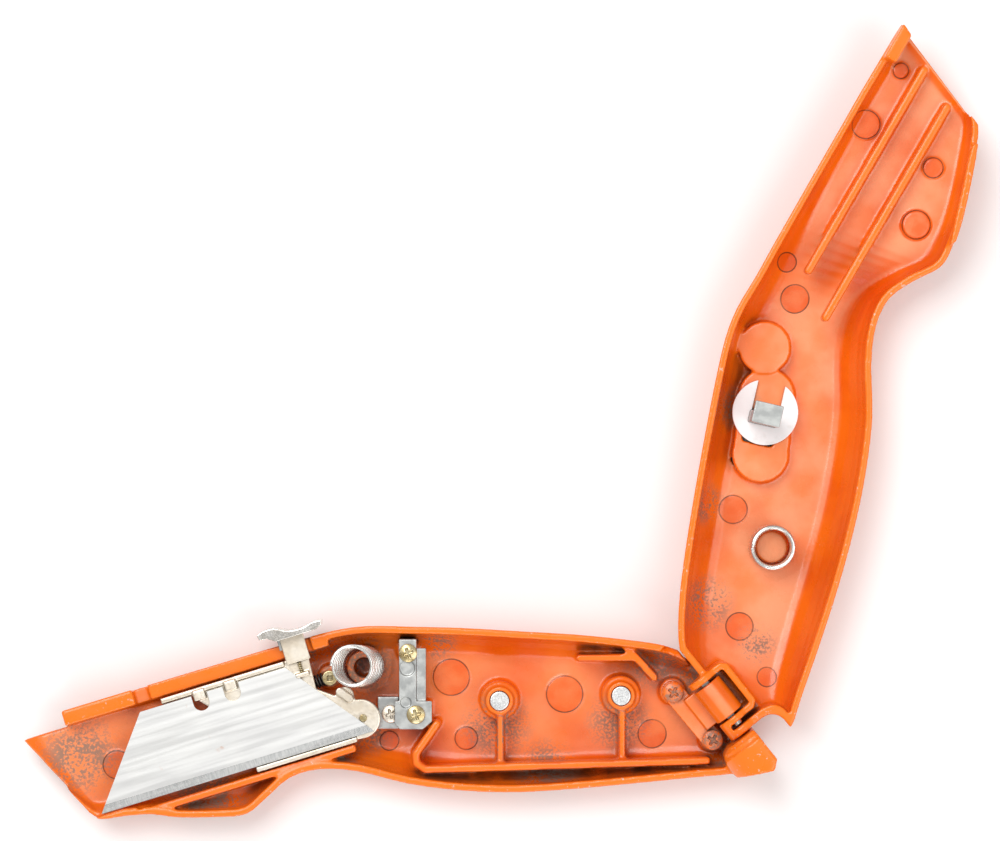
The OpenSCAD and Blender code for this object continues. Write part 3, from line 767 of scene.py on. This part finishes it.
@dataclass
class Carrier:
    """The blade, its sliding carrier and the thumb slider."""

    palette: Palette

    def build(self) -> None:
        """Builds the carrier, the blade and the slider."""
        p = self.palette
        build_castings(p, (
            ("blade_carrier", "carrier_pressing", Body.CARRIER, "cream_nickel", "nickel", 0.17, 2),
            ("carrier_rivet", "carrier_rivet_head", Body.CARRIER, "brass", "brass", 0.07, 2),
        ))
        dress("blade", p["blade"])
        build_castings(p, (
            ("thumb_slider", "thumb_saddle", Body.THUMB, "chrome_plate", "chrome", 0.13, 4),
            ("slider_stem", "slider_stem_pressed", Body.THUMB, "cream_nickel", "nickel", 0.11, 2),
            ("lock_tooth", "lock_tooth_cast", Body.THUMB, "zinc", "zinc", 0.08, 2),
        ))

    def build_springs(self) -> None:
        """Builds the small spring between the carrier and the slider."""
        press = Vector(joint("thumb_press")["axis"]).normalized()
        centre = middle("thumb_spring")
        half = 1.25 * MM
        start = centre + press * half
        end = centre - press * half
        Coil(
            "thumb_spring", "thumb_spring_coil", Body.CARRIER, "brass", "brass",
            start, end, 0.5 * MM, 0.2 * MM, 5, sides=6, steps=14,
        ).build_between(self.palette, Body.THUMB)


@dataclass
class CoverHalf:
    """The half that swings away, with the latch that it carries."""

    palette: Palette

    def build(self) -> None:
        """Builds the casting, the button and the clip."""
        p = self.palette
        build_castings(p, (
            ("cover_shell", "cover_casting", Body.COVER, "orange_paint", "cover_paint", 0.36, 3),
            ("release_button", "release_button_cast", Body.BUTTON, "zinc", "zinc", 0.15, 2),
            ("retaining_clip", "retaining_clip_pressed", Body.BUTTON, "white_clip", "clip", 0.14, 2),
        ))

    def build_springs(self) -> None:
        """Builds the ring spring that holds spare blades and the latch's own spring."""
        low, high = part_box("hold_down_spring")
        centre = middle("hold_down_spring")
        Coil(
            "hold_down_spring", "hold_down_spring_coil", Body.COVER, "spring_steel", "wire",
            Vector((centre.x, centre.y, low.z)), Vector((centre.x, centre.y, high.z)),
            (high.x - low.x) / 2, 1.1 * MM, 4,
        ).build(self.palette)
        back = Vector(joint("release_slide")["axis"]).normalized()
        centre = middle("latch_spring")
        half = 3.9 * MM
        start = centre + back * half
        end = centre - back * half
        Coil(
            "latch_spring", "latch_spring_coil", Body.COVER, "spring_steel", "wire",
            start, end, 0.95 * MM, 0.3 * MM, 9, sides=6, steps=14,
        ).build_between(self.palette, Body.BUTTON)


@dataclass
class Studio:
    """Pale floor, soft lights and a camera that looks straight down."""

    camera_height: float = 0.911
    lens: float = 149.0
    floor: Colour = (0.97, 0.97, 0.965)

    def build(self) -> None:
        """Builds the floor, the lights and the camera."""
        self.build_floor()
        self.build_lights()
        self.build_camera()

    def build_floor(self) -> None:
        """Lays a large pale floor just under the knife."""
        bpy.ops.object.select_all(action="DESELECT")
        bpy.ops.mesh.primitive_plane_add(size=6, location=(0, 0, -0.02 * MM))
        plane = bpy.context.object
        plane.name = "studio_floor"
        settle(plane)
        g = Graph("studio_floor")
        shade = g.blend(g.noise(0.4), self.floor, tuple(0.985 * c for c in self.floor))
        plane.data.materials.append(g.set(base_color=shade, roughness=0.8, specular_ior_level=0.1))

    def build_lights(self) -> None:
        """Hangs one large soft key light, a fill and an even sky."""
        for name, place, size, power in (
            ("key_light", (-0.25, 0.35, 0.8), 0.55, 5.0),
            ("fill_light", (0.45, -0.25, 0.7), 0.6, 2.0),
            ("strip_light", (0.0, -0.7, 0.45), 0.4, 1.2),
        ):
            bpy.ops.object.light_add(type="AREA", location=place)
            light = bpy.context.object
            light.name = name
            light.data.energy = power
            light.data.size = size
            aim = Vector((0, 0, 0)) - Vector(place)
            light.rotation_euler = aim.to_track_quat("-Z", "Y").to_euler()
        world = bpy.data.worlds.new("studio_sky")
        world.use_nodes = True
        sky = world.node_tree.nodes["Background"]
        sky.inputs["Color"].default_value = (1.0, 1.0, 1.0, 1.0)
        sky.inputs["Strength"].default_value = 0.5
        bpy.context.scene.world = world

    def build_camera(self) -> None:
        """Sets the camera straight above the middle of the knife."""
        bpy.ops.object.camera_add(location=(-0.2 * MM, 0.1 * MM, self.camera_height), rotation=(0, 0, 0))
        camera = bpy.context.object
        camera.data.lens = self.lens
        camera.data.clip_start = 0.01
        bpy.context.scene.camera = camera
        bpy.context.scene.view_settings.view_transform = "Standard"


def main() -> None:
    """Builds the studio and the knife."""
    logging.basicConfig(level=logging.INFO, format="%(message)s")
    Studio().build()
    palette = Palette()
    palette.build()
    for assembly in (BaseHalf(palette), Carrier(palette), CoverHalf(palette)):
        assembly.build()
        assembly.build_springs()


if __name__ == "__main__":
    main()
